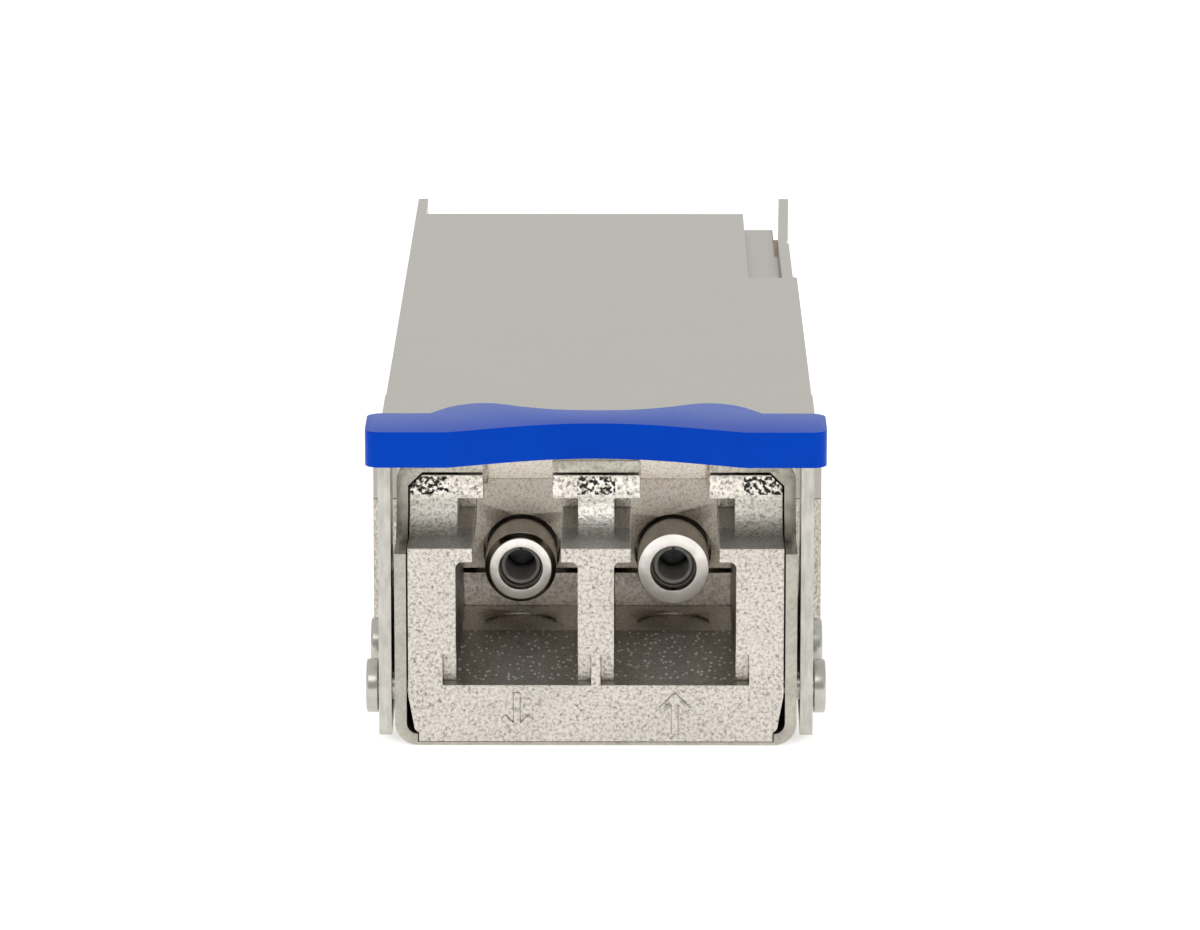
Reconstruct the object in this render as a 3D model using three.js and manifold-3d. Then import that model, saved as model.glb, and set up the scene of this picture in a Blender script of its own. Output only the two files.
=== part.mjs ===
// Pluggable optical transceiver module with a duplex LC receptacle and a bail latch.
// Millimetres. +X is to the right of someone facing the ports, +Y runs from the ports
// towards the card edge, +Z is up, and z = 0 is the flat underside of the housing.
// "Depth" is the distance behind the front face of the nose, and "across" is |x|.

import * as THREE from 'three';
import { mergeVertices } from 'three/addons/utils/BufferGeometryUtils.js';
import Module from 'manifold-3d';

const wasm = await Module();
wasm.setup();

// ---------------------------------------------------------------- driving dimensions

const LENGTH = 72.4; // over everything, along Y
const MARK_RAISE = 0.06; // port marks stand this far out of the nose face
const FACE_Y = -LENGTH / 2 + MARK_RAISE; // front face of the nose
const REAR_DEPTH = LENGTH - MARK_RAISE; // tips of the rear side walls
const SEAM = 0.02; // gap left where two rigid pieces are pressed together
const RUN = 0.05; // running clearance of pins and slides
const LAP = 0.2; // overlap of forms that are joined into one piece

const SHELL = { across: 7.95, wall: 0.46, top: 10.77, end: 12.06, lowR: 0.9, highR: 0.75 };
const SHELL_OPENING = { slotEnd: 8.5, exitTop: 9.8 }; // over each latch way
const SHELL_CHAMFER = 0.56; // inside its upper bends, parallel to the insert's chamfer
const NOSE = { across: 7.42, bottom: 0.5, top: 10.2, end: 8.8, cornerR: 0.3, chamfer: 0.48 };
const NOSE_FOOT = { lean: 0.22, leanTop: 2.0, lip: 0.15, lipAcross: 7.0, lipDepth: 0.45 };
const SCOOP = { ledge: 8.0, shellLedge: 7.78, depth: 3.4, radius: 1.5 }; // above the lower face
const PORT = { pitch: 6.25, half: 2.41, floor: 2.45, roof: 7.45, axis: 4.77, back: 13.0 };
const PORT_FILLET = 0.25; // in its upper corners
const LATCH_WAY = { mouth: 1.75, half: 2.4, shelf: 9.25, slot: 1.38, back: 7.2, catchFrom: 4.6 };
const LATCH_EXIT = { low: 7.84, depth: 13.0, rise: 2 }; // sloped cut behind each slot
const FACE_NOTCH = { half: 2.94, top: 3.7, depth: 0.8 };
const MARK = { low: 0.45, high: 2.15, half: 0.62, line: 0.24 };

const BODY = { front: 12.1, wide: 9.22, wideEnd: 26.2, across: 9.175, end: 68.3, top: 8.5 };
const BODY_STEP = 0.3; // length of the slopes between its widths
const PARTING_Z = 7.2; // joint between lower and upper housing
const FLOOR_Z = 1.0; // inside floor of the lower housing
const EJECTOR_MARK = { depth: 10.35, r: 1.48, deep: 0.08 }; // in each port's rear floor
const SHELF_CORNER = { low: 1.0, high: 0.1 };
const TONGUE = { across: 6.2, bottom: 4.05, end: 14.2, slotFloor: 3.85, keyHalf: 0.9 }; // clamps barrels
const CAVITY = { front: 6.3, frontEnd: 16.6, mid: 7.45, midEnd: 41, rear: 8.2, roof: 7.7 };
const REAR_WALL = { left: 8.69, right: 8.47, rightOut: 8.985, step: 52.2, sill: 1.2 };
const FLARE = { notchFrom: 60.6, from: 61.6, notch: 8.84, rootOut: 8.95, in: 8.73, out: 9.22 };
const COVER_POCKET = { from: 52.2, inner: 6.9, floor: 7.7, floorEdge: 8.35, web: 0.8 };

const PIVOT = { depth: 1.7, z: 2.0, r: 0.55 };
const CAM = { depth: 6.8, z: 2.4, r: 0.42 };
const RIVET = { headR: 1.075, headIn: 8.65, headOut: 9.14, pivotEnd: 6.3, nosePocket: 6.2 };
const WASHER = { inner: 7.97, outer: 8.07, r: 0.95 };
const ARM = { inner: 8.1, outer: 8.6, front: 0.5, back: 3.4, low: 0.15, heel: 0.6, lobe: 1.6 };
const ARM_WAIST = { back: 0.8, bend: 2.4, rise: 5.2 }; // curve between the lobe and the strip
const TAB = { front: 1.0, back: 3.2, barFront: 2.4, barBack: 3.2, low: 11.2, top: 12.05 };
const GRIP = { across: 9.1, low: 11.2, top: 12.63, cornerR: 0.6, front: 0.3, back: 3.8 };
const GRIP_DIP = { across: 5.9, depth: 1.65, power: 0.55 };
const GRIP_HUMP = [[6.6, 3.8], [5.6, 5.25], [4.3, 5.72], [2.85, 4.98], [1.5, 4.5], [0, 4.38]];
const BAIL_SWING = Math.PI / 2;
const SLIDE_PER_RADIAN = 1.6; // the release slides advance this far for each radian

const PLATE = { inner: 6.95, outer: 7.38, front: 3.05, back: 9.9, low: 0.95, chin: 3.2, heel: 5.1 };
const PLATE_CORNER = { cut: 0.3, drop: 0.35, tail: 0.6, behindPin: 7.5, rise: 7.6 };
const PLATE_WAY = { inner: 6.9, low: 0.9, high: 6.75, front: 0.4 };
const STRIP = { inner: 8.35, outer: 8.78, low: 3.2, high: 5.6, end: 37.4, jogFrom: 14.9, jogTo: 16.3 };
const STRIP_TIP = { from: 35.2, out: 9.1, flat: 0.7, sheet: 0.43, bend: 0.5, jogBend: 0.15 };
const CHANNEL = { inner: 8.3, low: 3.05, high: 5.75, jogFrom: 12.2, jogTo: 16.6, end: 40.2 };
const CATCH = { from: 32.6, low: 2.5, high: 6.3 };
const WINDOW = { from: 19.4, to: 27.4, low: 3.65, high: 5.15 };
const SPRING = { x: 8.45, z: 4.4, r: 0.5, wire: 0.1, from: 20.5, to: 27.3, turns: 7 };
const SPRING_ROOM = { inner: 7.8, from: 20.4, to: 27.5 };
const LUG = { from: 19.65, to: 20.4, out: 8.95, low: 3.75, high: 5.05 };

const BARREL = { r: 1.46, front: 9.95, flangeR: 2.0, flangeFrom: 14.3, end: 14.95, boreR: 0.83 };
const BARREL_MOUTH = { txFaceR: 1.275, txChamfer: 0.3, rx: 0.92, tx: 0.875, depth: 0.35 };
const SLEEVE = { outer: 0.8, inner: 0.645, from: 10.6, to: 14.3, slit: 0.12 };
const BARREL_ROOM = { lower: 0.06, upper: 0.11 }; // round the barrel in each housing
const STUB = { r: 0.62, from: 13.2, to: 14.9 };
const CAN = { from: 15.0, to: 21.5, half: 2.72, low: 2.05, high: 7.3, cornerR: 0.4 };
const CAN_NECK = { end: 16.0, inset: 0.6 };
const CAN_STEP = { long: 1.0, tall: 1.2, inset: 0.5 };
const CLAMP = { from: 17.2, to: 20.4, across: 6.1, sheet: 0.25, low: 1.02, high: 7.62 };
const BOARD = { from: 24.6, to: 71.5, low: 3.3, high: 4.3, front: 7.3, rear: 8.05, widenAt: 41.6 };
const BOARD_TIP = 0.6; // bevel of its rear corners
const BOARD_SHELF = { across: 6.7, from: 28, to: 66 };
const CONTACT = { count: 19, pitch: 0.8, width: 0.5, from: 69.0, to: 71.35, bar: 0.3, thick: 0.04 };
const FLEX = { half: 1.75, thick: 0.14, from: 21.55, bend: 22.65, foot: 24.65, to: 28.6, above: 0.3 };
const SCREW = { headR: 1.05, headLow: 0.06, headHigh: 0.7, r: 0.5, top: 7.95, bossR: 1.15 };
const SCREW_SOCKET = { r: 0.42, depth: 0.35 };
const SCREW_PLACES = { frontAcross: 6.15, front: 23.2, rearAcross: 5.7, rear: 63.5 };
const LABEL = { across: 6.6, from: 29, to: 57, low: 0.03, high: 0.12 };

// ------------------------------------------------------------------------- materials

const finish = (color, roughness, metalness) =>
  new THREE.MeshStandardMaterial({ color, roughness, metalness });

const CAST = () => finish(0xbdb8ab, 0.45, 0.9);
const SHEET = () => finish(0xcfcfc8, 0.3, 1.0);
const STEEL = () => finish(0xd6d6d2, 0.22, 1.0);
const BLUE = () => finish(0x0a48b8, 0.4, 0.0);
const CERAMIC = () => finish(0xe9e6dd, 0.3, 0.0);
const GLASS = () => finish(0x39434c, 0.1, 0.0);
const LAMINATE = () => finish(0x1f5a37, 0.5, 0.0);
const POLYIMIDE = () => finish(0xb5722a, 0.45, 0.0);
const GOLD = () => finish(0xd9b45a, 0.25, 1.0);
const PACKAGE = () => finish(0x24262a, 0.55, 0.0);
const CHIP_CERAMIC = () => finish(0xb79a72, 0.5, 0.0);
const PUTTY = () => finish(0x8f9aa5, 0.8, 0.0);
const PAPER = () => finish(0xf0f0ee, 0.6, 0.0);

// ------------------------------------------------------------------- solid modelling

const yAt = (depth) => FACE_Y + depth;

/** Turns a closed geometry into a solid, whichever way its faces are wound. */
function solid(geometry) {
  geometry.deleteAttribute('normal');
  geometry.deleteAttribute('uv');
  const merged = mergeVertices(geometry, 1e-4);
  const place = merged.getAttribute('position').array;
  const corners = merged.getIndex().array;
  const triangles = [];
  let volume = 0;
  const a = new THREE.Vector3();
  const b = new THREE.Vector3();
  const c = new THREE.Vector3();
  for (let i = 0; i < corners.length; i += 3) {
    const [p, q, r] = [corners[i], corners[i + 1], corners[i + 2]];
    if (p === q || q === r || r === p) continue;
    triangles.push(p, q, r);
    a.fromArray(place, 3 * p);
    b.fromArray(place, 3 * q);
    c.fromArray(place, 3 * r);
    volume += a.dot(b.cross(c));
  }
  if (volume < 0) triangles.reverse();
  const vertProperties = new Float32Array(place);
  const triVerts = new Uint32Array(triangles);
  return new wasm.Manifold(new wasm.Mesh({ numProp: 3, vertProperties, triVerts }));
}

const join = (...solids) => solids.reduce((whole, next) => whole.add(next));
const cut = (whole, ...tools) => tools.reduce((rest, tool) => rest.subtract(tool), whole);

const U = new THREE.Vector3(1, 0, 0);
const V = new THREE.Vector3(0, 1, 0);
const W = new THREE.Vector3(0, 0, 1);

function extrude(shape, length, segments) {
  return new THREE.ExtrudeGeometry(shape, {
    depth: length,
    bevelEnabled: false,
    curveSegments: segments,
  });
}

/** Prism along X of a side view whose points are (depth, z). */
function alongX(shape, x0, x1, segments = 6) {
  const geometry = extrude(shape, x1 - x0, segments);
  geometry.applyMatrix4(new THREE.Matrix4().makeBasis(V, W, U));
  geometry.translate(x0, FACE_Y, 0);
  return solid(geometry);
}

/** Prism along Y of a front view whose points are (x, z). */
function alongY(shape, from, to, segments = 6) {
  const geometry = extrude(shape, to - from, segments);
  geometry.applyMatrix4(new THREE.Matrix4().makeBasis(U, W, V.clone().negate()));
  geometry.translate(0, yAt(to), 0);
  return solid(geometry);
}

/** Prism along Z of a plan view whose points are (x, depth). */
function alongZ(shape, z0, z1, segments = 6) {
  const geometry = extrude(shape, z1 - z0, segments);
  geometry.translate(0, FACE_Y, z0);
  return solid(geometry);
}

function block(x0, x1, from, to, z0, z1) {
  const geometry = new THREE.BoxGeometry(x1 - x0, to - from, z1 - z0);
  geometry.translate((x0 + x1) / 2, yAt((from + to) / 2), (z0 + z1) / 2);
  return solid(geometry);
}

/** The same block on the right (side = 1) or the left (side = -1) of the module. */
function sideBlock(side, inner, outer, from, to, z0, z1) {
  const edges = [side * inner, side * outer].sort((p, q) => p - q);
  return block(edges[0], edges[1], from, to, z0, z1);
}

const polygon = (points) => new THREE.Shape(points.map(([u, v]) => new THREE.Vector2(u, v)));

function disc(u, v, r) {
  const shape = new THREE.Shape();
  shape.absarc(u, v, r, 0, 2 * Math.PI, false);
  return shape;
}

/** Rectangle with its own radius at the low and at the high corners. */
function roundedBox(u0, u1, v0, v1, lowR, highR) {
  const shape = new THREE.Shape();
  const quarter = Math.PI / 2;
  shape.absarc(u1 - lowR, v0 + lowR, lowR, -quarter, 0, false);
  shape.absarc(u1 - highR, v1 - highR, highR, 0, quarter, false);
  shape.absarc(u0 + highR, v1 - highR, highR, quarter, 2 * quarter, false);
  shape.absarc(u0 + lowR, v0 + lowR, lowR, 2 * quarter, 3 * quarter, false);
  shape.closePath();
  return shape;
}

function rodX(x0, x1, depth, z, r, segments = 10) {
  return alongX(disc(depth, z, r), Math.min(x0, x1), Math.max(x0, x1), segments);
}

function rodY(x, z, r, from, to, segments = 14) {
  return alongY(disc(x, z, r), from, to, segments);
}

function rodZ(x, depth, r, z0, z1, segments = 8) {
  return alongZ(disc(x, depth, r), z0, z1, segments);
}

const SIDES = { left: -1, right: 1 };
const CHANNELS = { tx: -1, rx: 1 };
const portX = (side) => (side * PORT.pitch) / 2;

// ------------------------------------------------------------------------------ nose

/** Side view of the hollow above the lower front face, cut out of nose and shell. */
function scoopShape(ledge) {
  const { depth, radius } = SCOOP;
  const shape = new THREE.Shape();
  const above = SHELL.top + 1;
  shape.moveTo(-1, above);
  shape.lineTo(-1, ledge);
  shape.lineTo(depth - radius, ledge);
  shape.absarc(depth - radius, ledge + radius, radius, -Math.PI / 2, 0, false);
  shape.lineTo(depth, above);
  shape.closePath();
  return shape;
}

/** Raised arrow under a port: it points out of the transmitter and into the receiver. */
function portMark(side) {
  const x = portX(side);
  const tip = side < 0 ? MARK.low : MARK.high;
  const tail = side < 0 ? MARK.high : MARK.low;
  const towards = Math.sign(tip - tail);
  const barb = tip - towards * MARK.half;
  const line = MARK.line / 2;
  const slant = MARK.line * Math.SQRT1_2;
  return polygon([
    [x - line, tail],
    [x + line, tail],
    [x + line, tip - towards * (line + 2 * slant)],
    [x + MARK.half - slant, barb - towards * slant],
    [x + MARK.half, barb],
    [x, tip],
    [x - MARK.half, barb],
    [x - MARK.half + slant, barb - towards * slant],
    [x - line, tip - towards * (line + 2 * slant)],
  ]);
}

/** The plug's way in: square body, latch channel above it and a slot through the top. */
function portCutters(side) {
  const x = portX(side);
  const way = (half, from, to, z0, z1) => block(x - half, x + half, from, to, z0, z1);
  const out = -1;
  const end = NOSE.end + 1;
  return [
    alongY(roundedBox(x - PORT.half, x + PORT.half, PORT.floor, PORT.roof, SEAM, PORT_FILLET), out, end, 3),
    way(LATCH_WAY.mouth, out, end, PORT.roof - RUN, LATCH_WAY.shelf),
    way(LATCH_WAY.half, out, LATCH_WAY.back, SCOOP.ledge, LATCH_WAY.shelf),
    way(LATCH_WAY.half, LATCH_WAY.catchFrom, LATCH_WAY.back, LATCH_WAY.shelf - RUN, NOSE.top + 1),
    way(LATCH_WAY.slot, out, end, LATCH_WAY.shelf - RUN, NOSE.top + 1),
    way(FACE_NOTCH.half, out, FACE_NOTCH.depth, PORT.floor, FACE_NOTCH.top),
  ];
}

/** Front view of the nose: rounded feet, sides that lean in below, chamfered upper corners. */
function noseOutline(across, bottom, top, cornerR, chamfer, lean) {
  const foot = across - lean;
  const shape = new THREE.Shape();
  shape.absarc(foot - cornerR, bottom + cornerR, cornerR, -Math.PI / 2, 0, false);
  shape.lineTo(across, NOSE_FOOT.leanTop);
  shape.lineTo(across, top - chamfer);
  shape.lineTo(across - chamfer, top);
  shape.lineTo(chamfer - across, top);
  shape.lineTo(-across, top - chamfer);
  shape.lineTo(-across, NOSE_FOOT.leanTop);
  shape.absarc(cornerR - foot, bottom + cornerR, cornerR, Math.PI, 1.5 * Math.PI, false);
  shape.closePath();
  return shape;
}

function receptacleInsert() {
  const { across, bottom, top, cornerR, chamfer } = NOSE;
  const { lip, lipAcross, lipDepth, lean } = NOSE_FOOT;
  const outline = noseOutline(across, bottom, top, cornerR, chamfer, lean);
  let body = join(
    alongY(outline, 0, NOSE.end),
    block(-lipAcross, lipAcross, 0, lipDepth, lip, bottom + 1),
  );
  body = cut(body, alongX(scoopShape(SCOOP.ledge), -across - 1, across + 1, 8));
  for (const side of Object.values(CHANNELS)) {
    body = cut(body, ...portCutters(side));
    body = join(body, alongY(portMark(side), -MARK_RAISE, MARK_RAISE));
  }
  const way = PLATE_WAY;
  const sweep = {
    [SIDES.left]: alongX(camSlot(), -NOSE.across - 1, -way.inner, 12),
    [SIDES.right]: alongX(camSlot(), way.inner, NOSE.across + 1, 12),
  };
  for (const side of Object.values(SIDES)) {
    body = cut(
      body,
      sideBlock(side, way.inner, NOSE.across + 1, way.front, NOSE.end + 1, way.low, way.high),
      sweep[side],
      rodX(side * RIVET.nosePocket, side * (NOSE.across + 1), PIVOT.depth, PIVOT.z, PIVOT.r + SEAM),
    );
  }
  return body;
}

/** Arc-shaped slot that the cam pin sweeps along in the side of the shell. */
function camSlot() {
  const radius = Math.hypot(CAM.depth - PIVOT.depth, CAM.z - PIVOT.z);
  const halfWidth = CAM.r + RUN + SEAM;
  const start = Math.atan2(CAM.z - PIVOT.z, CAM.depth - PIVOT.depth);
  const spare = (CAM.r + RUN) / radius;
  const shape = new THREE.Shape();
  const [first, last] = [start - spare, start + BAIL_SWING + spare];
  shape.absarc(PIVOT.depth, PIVOT.z, radius + halfWidth, first, last, false);
  shape.absarc(PIVOT.depth, PIVOT.z, radius - halfWidth, last, first, true);
  shape.closePath();
  return shape;
}

function noseShell() {
  const { across, wall, top, end, lowR, highR } = SHELL;
  const outer = roundedBox(-across, across, 0, top, lowR, highR);
  outer.holes.push(noseOutline(across - wall, wall, top - wall, lowR - wall, SHELL_CHAMFER, 0));
  const endFlap = block(wall - across, across - wall, end - wall, end, BODY.top + RUN, top - wall / 2);
  const reach = across + 1;
  const lipAcross = NOSE_FOOT.lipAcross + RUN;
  let shell = join(alongY(outer, 0, end), endFlap);
  shell = cut(
    shell,
    alongX(scoopShape(SCOOP.shellLedge), -reach, reach, 8),
    block(-lipAcross, lipAcross, -1, NOSE_FOOT.lipDepth + RUN, NOSE_FOOT.lip - SEAM, NOSE.bottom),
    alongX(camSlot(), -reach, reach, 12),
    rodX(-reach, reach, PIVOT.depth, PIVOT.z, PIVOT.r + SEAM),
  );
  for (const side of Object.values(CHANNELS)) {
    const x = portX(side);
    const half = LATCH_WAY.slot;
    const { slotEnd, exitTop } = SHELL_OPENING;
    shell = cut(
      shell,
      block(x - half, x + half, 0, slotEnd, top - wall - RUN, top + 1),
      block(x - half, x + half, end - wall - RUN, end + 1, BODY.top, exitTop),
    );
  }
  return shell;
}

// ------------------------------------------------------------------------------ bail

/** Side view of one stamped arm: upright strip, rounded heel and lobe for the cam pin. */
function armShape() {
  const { front, back, low, heel, lobe } = ARM;
  const shape = new THREE.Shape();
  shape.moveTo(TAB.front, TAB.top);
  shape.lineTo(TAB.front, TAB.low);
  shape.lineTo(front, TAB.low - SEAM);
  shape.lineTo(front, low + heel);
  shape.absarc(front + heel, low + heel, heel, Math.PI, 1.5 * Math.PI, false);
  shape.lineTo(CAM.depth, CAM.z - lobe);
  shape.absarc(CAM.depth, CAM.z, lobe, -Math.PI / 2, Math.PI / 3, false);
  const waist = ARM_WAIST;
  shape.quadraticCurveTo(back + waist.back, CAM.z + waist.bend, back, CAM.z + waist.rise);
  shape.lineTo(back, TAB.low - SEAM);
  shape.lineTo(TAB.back, TAB.low);
  shape.lineTo(TAB.back, TAB.top);
  shape.closePath();
  return shape;
}

function bailFrame() {
  const { inner, outer } = ARM;
  const sheet = outer - inner;
  const bar = block(-outer, outer, TAB.barFront, TAB.barBack, TAB.top - sheet, TAB.top);
  let frame = join(bar, alongX(armShape(), inner, outer), alongX(armShape(), -outer, -inner));
  for (const side of Object.values(SIDES)) {
    frame = cut(
      frame,
      rodX(side * (inner - 1), side * (outer + 1), PIVOT.depth, PIVOT.z, PIVOT.r + RUN),
      rodX(side * (inner - 1), side * (outer + 1), CAM.depth, CAM.z, CAM.r + SEAM),
    );
  }
  return frame;
}

/** Depth of the grip's scooped front edge at a distance across from the middle. */
function gripFront(across) {
  const share = Math.min(across / GRIP_DIP.across, 1);
  const swell = (1 + Math.cos(Math.PI * share)) / 2;
  return GRIP.front + GRIP_DIP.depth * swell ** GRIP_DIP.power;
}

function gripShape() {
  const steps = 14;
  const { across, cornerR, front, back } = GRIP;
  const hump = GRIP_HUMP.map(([u, v]) => new THREE.Vector2(u, v));
  const halfBack = new THREE.SplineCurve(hump).getPoints(steps);
  const halfFront = [];
  for (let i = 0; i <= steps; i += 1) {
    const x = (GRIP_DIP.across * i) / steps;
    halfFront.push(new THREE.Vector2(x, gripFront(x)));
  }
  const mirrored = (points) => points.map((p) => new THREE.Vector2(-p.x, p.y)).reverse();
  const shape = new THREE.Shape([...mirrored(halfFront).slice(0, -1), ...halfFront]);
  shape.absarc(across - cornerR, front + cornerR, cornerR, -Math.PI / 2, 0, false);
  shape.absarc(across - cornerR, back - cornerR, cornerR, 0, Math.PI / 2, false);
  for (const p of [...halfBack.slice(0, -1), ...mirrored(halfBack)]) shape.lineTo(p.x, p.y);
  shape.absarc(cornerR - across, back - cornerR, cornerR, Math.PI / 2, Math.PI, false);
  shape.absarc(cornerR - across, front + cornerR, cornerR, Math.PI, 1.5 * Math.PI, false);
  shape.closePath();
  return shape;
}

/** Moulded grip with the sockets that the frame's bar and tabs sit in. */
function bailGrip() {
  const gap = 2 * SEAM;
  const { inner, outer } = ARM;
  const sheet = outer - inner;
  const barLow = TAB.top - sheet - gap;
  const [reach, roof] = [outer + gap, TAB.top + gap];
  let grip = alongZ(gripShape(), GRIP.low, GRIP.top);
  grip = cut(grip, block(-reach, reach, TAB.barFront - gap, TAB.barBack + gap, barLow, roof));
  for (const side of Object.values(SIDES)) {
    const socketFrom = TAB.front - gap;
    const socketTo = TAB.back + gap;
    grip = cut(grip, sideBlock(side, inner - gap, reach, socketFrom, socketTo, GRIP.low - 1, roof));
  }
  return grip;
}

function pivotPin(side) {
  return join(
    rodX(side * RIVET.headIn, side * RIVET.headOut, PIVOT.depth, PIVOT.z, RIVET.headR, 12),
    rodX(side * RIVET.pivotEnd, side * (RIVET.headIn + RUN), PIVOT.depth, PIVOT.z, PIVOT.r),
    rodX(side * WASHER.inner, side * WASHER.outer, PIVOT.depth, PIVOT.z, WASHER.r),
  );
}

function camPin(side) {
  const shankEnd = PLATE.inner + SEAM;
  return join(
    rodX(side * RIVET.headIn, side * RIVET.headOut, CAM.depth, CAM.z, RIVET.headR, 12),
    rodX(side * shankEnd, side * (RIVET.headIn + RUN), CAM.depth, CAM.z, CAM.r),
  );
}

// -------------------------------------------------------------------- release slides

/** Cam pin's place relative to the slide when the bail has turned by an angle. */
function camPath(angle) {
  const [depth, z] = [CAM.depth - PIVOT.depth, CAM.z - PIVOT.z];
  return new THREE.Vector2(
    PIVOT.depth + depth * Math.cos(angle) - z * Math.sin(angle) + SLIDE_PER_RADIAN * angle,
    PIVOT.z + depth * Math.sin(angle) + z * Math.cos(angle),
  );
}

/** Points of the cam edge: the pin's path, offset forward by the pin's radius. */
function camEdge() {
  const steps = 12;
  const delta = 1e-3;
  const offset = CAM.r + RUN;
  const edge = [];
  for (let i = steps; i >= 0; i -= 1) {
    const angle = (BAIL_SWING * i) / steps;
    const here = camPath(angle);
    const ahead = camPath(angle + delta).sub(here).normalize();
    edge.push([here.x - offset * ahead.y, here.y + offset * ahead.x]);
  }
  return edge.map(([depth, z]) => new THREE.Vector2(depth, z));
}

/** Side view of the slide's front plate, with its cam edge and the hook under the pin. */
function platePoints() {
  const { front, low, chin, back, heel } = PLATE;
  const { cut: corner, drop, tail, behindPin, rise } = PLATE_CORNER;
  const edge = camEdge().filter((p) => p.x > front + corner);
  const crest = edge[0];
  const hook = new THREE.Path();
  hook.absarc(CAM.depth, CAM.z, CAM.r + RUN, Math.PI, 1.5 * Math.PI, false);
  return [
    [front, chin],
    [front, crest.y - drop],
    [front + corner, crest.y - SEAM],
    ...[...edge, ...hook.getPoints(3)].map((p) => [p.x, p.y]),
    [behindPin, CAM.z - CAM.r - RUN],
    [rise, STRIP.high],
    [back, STRIP.high],
    [back, STRIP.low],
    [back - tail, low],
    [heel, low],
    [heel, chin],
  ];
}

/** Plan view of the strip: through the nose, a jog out to the channel, and a flared tip. */
function stripShape(side) {
  const { inner, outer, jogFrom, jogTo, end } = STRIP;
  const points = [
    [PLATE.inner, PLATE.back - 1],
    [PLATE.outer, PLATE.back - 1],
    [PLATE.outer, jogFrom],
    [outer, jogTo],
    [outer, STRIP_TIP.from],
    [STRIP_TIP.out, end - STRIP_TIP.flat],
    [STRIP_TIP.out, end],
    [STRIP_TIP.out - STRIP_TIP.sheet, end],
    [inner, STRIP_TIP.from + STRIP_TIP.bend],
    [inner, jogTo + STRIP_TIP.jogBend],
    [PLATE.inner, jogFrom + STRIP_TIP.jogBend],
  ];
  return polygon(points.map(([x, depth]) => [side * x, depth]));
}

function latchSlide(side) {
  const [x0, x1] = [side * PLATE.inner, side * PLATE.outer].sort((p, q) => p - q);
  const slide = join(
    alongX(polygon(platePoints()), x0, x1),
    alongZ(stripShape(side), STRIP.low, STRIP.high),
  );
  const { from, to, low, high } = WINDOW;
  return cut(slide, sideBlock(side, STRIP.inner - 1, STRIP.outer + 1, from, to, low, high));
}

class Helix extends THREE.Curve {
  constructor(side) {
    super();
    this.side = side;
  }

  getPoint(t, target = new THREE.Vector3()) {
    const angle = 2 * Math.PI * SPRING.turns * t;
    const depth = SPRING.from + SPRING.wire + t * (SPRING.to - SPRING.from - 2 * SPRING.wire);
    const x = this.side * SPRING.x + SPRING.r * Math.cos(angle);
    return target.set(x, yAt(depth), SPRING.z + SPRING.r * Math.sin(angle));
  }
}

function returnSpring(side) {
  const stepsPerTurn = 10;
  const wire = new THREE.Shape();
  wire.absarc(0, 0, SPRING.wire, 0, 2 * Math.PI, false);
  return solid(new THREE.ExtrudeGeometry(wire, {
    steps: stepsPerTurn * SPRING.turns,
    curveSegments: 3,
    bevelEnabled: false,
    extrudePath: new Helix(side),
  }));
}

// --------------------------------------------------------------------------- housing

/** Plan view of the housing: wide front, stepped right side, right rear wall flared outward. */
function housingPlan() {
  const { front, wide, wideEnd, across } = BODY;
  const { step, rightOut } = REAR_WALL;
  return polygon([
    [-wide, front],
    [wide, front],
    [wide, wideEnd],
    [across, wideEnd + BODY_STEP],
    [across, step],
    [rightOut, step + BODY_STEP],
    [rightOut, FLARE.notchFrom],
    [FLARE.notch, FLARE.notchFrom + BODY_STEP],
    [FLARE.rootOut, FLARE.from],
    [FLARE.out, REAR_DEPTH],
    [-across, REAR_DEPTH],
    [-across, wideEnd + BODY_STEP],
    [-wide, wideEnd],
  ]);
}

function screwPlaces() {
  const { frontAcross, front, rearAcross, rear } = SCREW_PLACES;
  const ahead = [[-frontAcross, front], [frontAcross, front]];
  return [...ahead, [-rearAcross, rear], [rearAcross, rear]];
}

/** Inner face of the right rear wall at a depth behind the start of its flare. */
function rightWallAt(depth) {
  const share = (depth - FLARE.from) / (REAR_DEPTH - FLARE.from);
  return REAR_WALL.right + share * (FLARE.in - REAR_WALL.right);
}

/** Everything behind the rear edge except the two side walls. */
function rearOpening(z0, z1) {
  const beyond = REAR_DEPTH + 1;
  const plan = polygon([
    [-REAR_WALL.left, BODY.end],
    [rightWallAt(BODY.end), BODY.end],
    [rightWallAt(beyond), beyond],
    [-REAR_WALL.left, beyond],
  ]);
  return alongZ(plan, z0, z1);
}

/** Stepped pocket in the cover's right rear corner, with a gap beside the flared wall. */
function coverPocket() {
  const { from, inner, floor, floorEdge } = COVER_POCKET;
  const beyond = BODY.end + 1;
  const pocket = polygon([
    [inner, from],
    [REAR_WALL.right, from],
    [REAR_WALL.right, FLARE.from],
    [rightWallAt(beyond), beyond],
    [inner, beyond],
  ]);
  const gap = polygon([
    [floorEdge, FLARE.from],
    [REAR_WALL.right, FLARE.from],
    [rightWallAt(beyond), beyond],
    [floorEdge, beyond],
  ]);
  return [alongZ(pocket, floor, BODY.top + 1), alongZ(gap, 0, floor + RUN)];
}

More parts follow.
